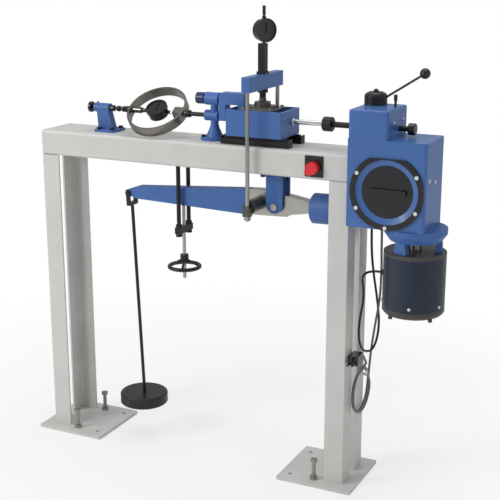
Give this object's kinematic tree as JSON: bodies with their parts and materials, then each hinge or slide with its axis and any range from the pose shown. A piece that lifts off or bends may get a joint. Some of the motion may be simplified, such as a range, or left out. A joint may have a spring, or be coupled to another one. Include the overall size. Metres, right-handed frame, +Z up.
{
  "type": "direct shear apparatus",
  "caption": "Soil direct shear test bench on an angle-iron frame, with geared motor drive, proving ring, water container, loading yoke, lever and weight hanger.",
  "frame": {"origin": "middle of the frame on the floor, at the centre of the four anchor holes", "axes": "+X along the beam towards the gearbox, +Y to the back, +Z up"},
  "size_m": [1.1263, 0.2107, 1.177],
  "materials": {
    "frame_paint": "light warm grey paint, satin",
    "blue_paint": "blue hammer-smooth machine paint",
    "navy_paint": "dark navy paint",
    "grey_paint": "grey cast cover paint",
    "black_oxide": "blackened steel",
    "steel": "machined steel",
    "chrome": "polished plating",
    "zinc": "zinc plated",
    "black_plastic": "black moulded plastic",
    "dark_blue_plastic": "dark blue knurled plastic",
    "red_plastic": "red moulded plastic",
    "white_screw": "bright plated screw heads",
    "dial_black": "black dial with white marks",
    "gauge_body": "black bezel, metal body, printed face",
    "hand": "black pointer",
    "black_cord": "black cord sheath",
    "grey_cord": "grey cord sheath"
  },
  "bodies": {
    "frame": {"base_plates": "frame_paint", "legs_left": "frame_paint", "legs_right": "frame_paint", "main_beam": "frame_paint", "levelling_screws": "zinc", "beam_bolts": "black_oxide", "reaction_bracket": "blue_paint", "guide_post": "blue_paint", "slide_rails": "black_oxide", "gearbox_housing": "blue_paint", "dial_ring": "dial_black", "number_ring": "blue_paint", "white_screws": "white_screw", "oil_breather": "black_plastic", "motor_adapter": "blue_paint", "motor_shell": "navy_paint", "motor_caps": "grey_paint", "switch_plate": "black_plastic", "fulcrum_bracket": "blue_paint", "fulcrum_pin": "steel", "lever_rest": "black_oxide", "motor_lead": "black_cord", "mains_cord": "grey_cord", "mains_coil": "grey_cord", "mains_plug": "black_plastic", "cord_gland": "black_plastic"},
    "ring_knob": {"ring_knob": "black_plastic"},
    "ring_train": {"ring_screw": "black_oxide", "proving_ring": "steel", "ring_gauge_body": "gauge_body", "push_rod": "black_oxide", "gooseneck": "blue_paint", "upper_box": "steel", "load_pad": "steel"},
    "ring_gauge_spindle": {"ring_gauge_spindle": "chrome"},
    "ring_gauge_hand": {"ring_gauge_hand": "hand"},
    "guide_rod": {"guide_rod": "dark_blue_plastic"},
    "carriage": {"container": "blue_paint", "lower_box": "steel", "ram": "chrome"},
    "ram_wheel": {"ram_wheel": "black_oxide"},
    "gear_dial": {"gear_dial": "dial_black"},
    "clutch_lever": {"clutch_lever": "chrome"},
    "side_knob": {"side_knob": "black_plastic"},
    "motor_coupling": {"motor_coupling": "steel"},
    "switch_knob": {"switch_knob": "red_plastic"},
    "yoke": {"yoke_crossbar": "blue_paint", "yoke_rods": "steel", "yoke_lower_bar": "steel", "load_screw": "black_oxide", "load_gauge_pillar": "black_oxide", "load_gauge_body": "gauge_body"},
    "load_gauge_spindle": {"load_gauge_spindle": "black_plastic"},
    "load_gauge_hand": {"load_gauge_hand": "hand"},
    "lever": {"lever_arm": "blue_paint", "lever_head": "steel"},
    "counterweight": {"counterweight": "blue_paint"},
    "rest_screw": {"rest_screw": "steel"},
    "rest_handwheel": {"rest_handwheel": "black_oxide"},
    "weight_hanger": {"weight_hanger": "black_oxide"}
  },
  "joints": [
    {"name": "ring_slide", "type": "slide", "parent": "frame", "child": "ring_train", "axis": [1, 0, 0], "range_m": [-0.0025, 0.002]},
    {"name": "ring_knob_turn", "type": "hinge", "parent": "frame", "child": "ring_knob", "pos_m": [-0.29, 0, 0.905], "axis": [1, 0, 0], "range_deg": [-610, 490]},
    {"name": "ring_gauge_plunge", "type": "slide", "parent": "ring_train", "child": "ring_gauge_spindle", "axis": [1, 0, 0], "range_m": [-0.002, 0.0015]},
    {"name": "ring_gauge_hand_turn", "type": "hinge", "parent": "ring_train", "child": "ring_gauge_hand", "pos_m": [-0.117, 0, 0.905], "axis": [0, -0.5736, 0.8192], "range_deg": [-725, 545]},
    {"name": "guide_rod_turn", "type": "hinge", "parent": "ring_train", "child": "guide_rod", "pos_m": [0.01, 0, 0.947], "axis": [1, 0, 0], "continuous": true},
    {"name": "carriage_slide", "type": "slide", "parent": "frame", "child": "carriage", "axis": [1, 0, 0], "range_m": [-0.012, 0.003]},
    {"name": "ram_wheel_turn", "type": "hinge", "parent": "carriage", "child": "ram_wheel", "pos_m": [0.353, 0, 0.904], "axis": [1, 0, 0], "continuous": true},
    {"name": "gear_dial_turn", "type": "hinge", "parent": "frame", "child": "gear_dial", "pos_m": [0.5325, -0.079, 0.77], "axis": [0, 1, 0], "continuous": true},
    {"name": "clutch_lever_swing", "type": "hinge", "parent": "frame", "child": "clutch_lever", "pos_m": [0.463, 0.022, 0.97], "axis": [0, 0, 1], "range_deg": [-45, 45]},
    {"name": "side_knob_turn", "type": "hinge", "parent": "frame", "child": "side_knob", "pos_m": [0.56, 0, 0.906], "axis": [1, 0, 0], "continuous": true},
    {"name": "motor_coupling_spin", "type": "hinge", "parent": "frame", "child": "motor_coupling", "pos_m": [0.585, -0.015, 0.64], "axis": [0, 0, 1], "continuous": true},
    {"name": "switch_turn", "type": "hinge", "parent": "frame", "child": "switch_knob", "pos_m": [0.346, -0.075, 0.81], "axis": [0, 1, 0], "range_deg": [0, 90]},
    {"name": "rest_screw_lift", "type": "slide", "parent": "frame", "child": "rest_screw", "axis": [0, 0, 1], "range_m": [-0.008, 0.008]},
    {"name": "rest_handwheel_turn", "type": "hinge", "parent": "rest_screw", "child": "rest_handwheel", "pos_m": [-0.046, 0, 0.52], "axis": [0, 0, 1], "range_deg": [-1441, 1441]},
    {"name": "lever_tilt", "type": "hinge", "parent": "frame", "child": "lever", "pos_m": [0.223, 0, 0.693], "axis": [0, 1, 0], "range_deg": [-1.72, 1.72]},
    {"name": "counterweight_slide", "type": "slide", "parent": "lever", "child": "counterweight", "axis": [0.9997, 0, 0.0234], "range_m": [-0.006, 0.01]},
    {"name": "hanger_swing", "type": "hinge", "parent": "lever", "child": "weight_hanger", "pos_m": [-0.204, 0, 0.686], "axis": [0, 1, 0], "range_deg": [-6, 6]},
    {"name": "yoke_lift", "type": "slide", "parent": "frame", "child": "yoke", "axis": [0, 0, 1], "range_m": [-0.0013, 0.0013]},
    {"name": "load_gauge_plunge", "type": "slide", "parent": "yoke", "child": "load_gauge_spindle", "axis": [0, 0, 1], "range_m": [-0.0013, 0.0013]},
    {"name": "load_gauge_hand_turn", "type": "hinge", "parent": "yoke", "child": "load_gauge_hand", "pos_m": [0.186, 0, 1.119], "axis": [0.848, -0.5299, 0], "range_deg": [-462, 462]}
  ],
  "couplings": [
    {"joint": "ring_knob_turn", "follows": "ring_slide", "rad_per_m": 4188.8},
    {"joint": "ring_gauge_hand_turn", "follows": "ring_gauge_plunge", "rad_per_m": 6283.2},
    {"joint": "rest_handwheel_turn", "follows": "rest_screw_lift", "rad_per_m": 3141.6},
    {"joint": "lever_tilt", "follows": "rest_screw_lift", "rad_per_m": 3.7175},
    {"joint": "yoke_lift", "follows": "rest_screw_lift", "ratio": 0.15985},
    {"joint": "load_gauge_plunge", "follows": "rest_screw_lift", "ratio": -0.15985},
    {"joint": "load_gauge_hand_turn", "follows": "rest_screw_lift", "rad_per_m": -1004.4}
  ]
}
